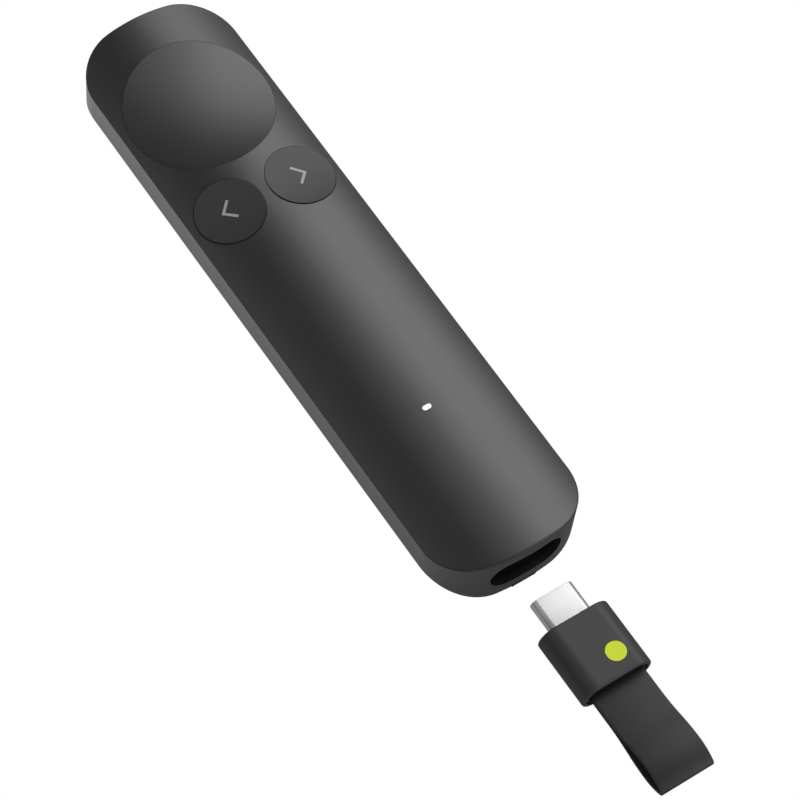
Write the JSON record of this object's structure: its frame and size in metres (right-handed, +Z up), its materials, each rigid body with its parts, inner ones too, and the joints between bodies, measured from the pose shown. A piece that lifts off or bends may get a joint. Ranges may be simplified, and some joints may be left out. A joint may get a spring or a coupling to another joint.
{
  "type": "wireless presentation clicker",
  "caption": "Slim wireless presentation clicker with a dished pointer button, two step buttons and a pull-out plug-in receiver on a strap loop.",
  "frame": {"origin": "centre of the underside of the rest pad, midway between the handset's head and tail", "axes": "+Z up from the rest face, +Y to the head with the pointer button, -Y to the receiver bay, +X to the next button"},
  "size_m": [0.0294, 0.1685, 0.0126],
  "materials": {
    "matte_shell": "fine satin dark grey moulding",
    "button_grey": "fine satin dark grey moulding",
    "pad_rubber": "matt black",
    "icon_grey": "printed light grey inlay",
    "light_lens": "clear white lens",
    "receiver_shell": "fine matt dark grey moulding",
    "accent_lime": "matt lime inlay",
    "strap_fabric": "dark grey soft flat strap",
    "plug_metal": "satin nickel plated steel",
    "inner_black": "black moulding",
    "contact_gold": "gold plated",
    "screw_steel": "zinc plated",
    "board_green": "solder mask",
    "chip_black": "moulded package",
    "can_metal": "satin can",
    "foil_silver": "pouch foil",
    "foam_grey": "adhesive foam",
    "lamp_white": "lamp package"
  },
  "bodies": {
    "handset": {"rest_pad": "pad_rubber", "lower_housing": "matte_shell", "top_cover": "matte_shell", "case_screws": "screw_steel", "bay_sleeve": "inner_black", "port_shell": "plug_metal", "port_tongue": "inner_black", "port_pins": "contact_gold", "main_board": "board_green", "radio_chip": "chip_black", "radio_crystal": "can_metal", "motion_sensor": "chip_black", "charger_chip": "chip_black", "aerial": "can_metal", "battery_pad": "foam_grey", "battery_cell": "foil_silver", "battery_strips": "can_metal", "status_lamp": "lamp_white", "light_pipe": "light_lens", "pointer_switch": "chip_black", "next_switch": "chip_black", "back_switch": "chip_black"},
    "pointer_button": {"pointer_cap": "button_grey", "pointer_plunger": "can_metal"},
    "next_button": {"next_cap": "button_grey", "next_icon": "icon_grey", "next_plunger": "can_metal"},
    "back_button": {"back_cap": "button_grey", "back_icon": "icon_grey", "back_plunger": "can_metal"},
    "receiver": {"receiver_housing": "receiver_shell", "accent_dot": "accent_lime", "receiver_insert": "inner_black", "strap_pin": "screw_steel", "strap_loop": "strap_fabric", "plug_shell": "plug_metal", "plug_core": "inner_black", "plug_pins": "contact_gold", "receiver_board": "board_green", "receiver_chip": "chip_black", "receiver_crystal": "can_metal", "receiver_aerial": "can_metal"}
  },
  "joints": [
    {"name": "pointer_press", "type": "slide", "parent": "handset", "child": "pointer_button", "axis": [0, 0, -1], "range_m": [0, 0.0003], "stiffness_N_per_m": 1500, "springref_m": -0.0005},
    {"name": "next_press", "type": "slide", "parent": "handset", "child": "next_button", "axis": [0, 0, -1], "range_m": [0, 0.0003], "stiffness_N_per_m": 1500, "springref_m": -0.0005},
    {"name": "back_press", "type": "slide", "parent": "handset", "child": "back_button", "axis": [0, 0, -1], "range_m": [0, 0.0003], "stiffness_N_per_m": 1500, "springref_m": -0.0005},
    {"name": "receiver_slide", "type": "slide", "parent": "handset", "child": "receiver", "axis": [0, 1, 0], "range_m": [0, 0.02555]}
  ]
}
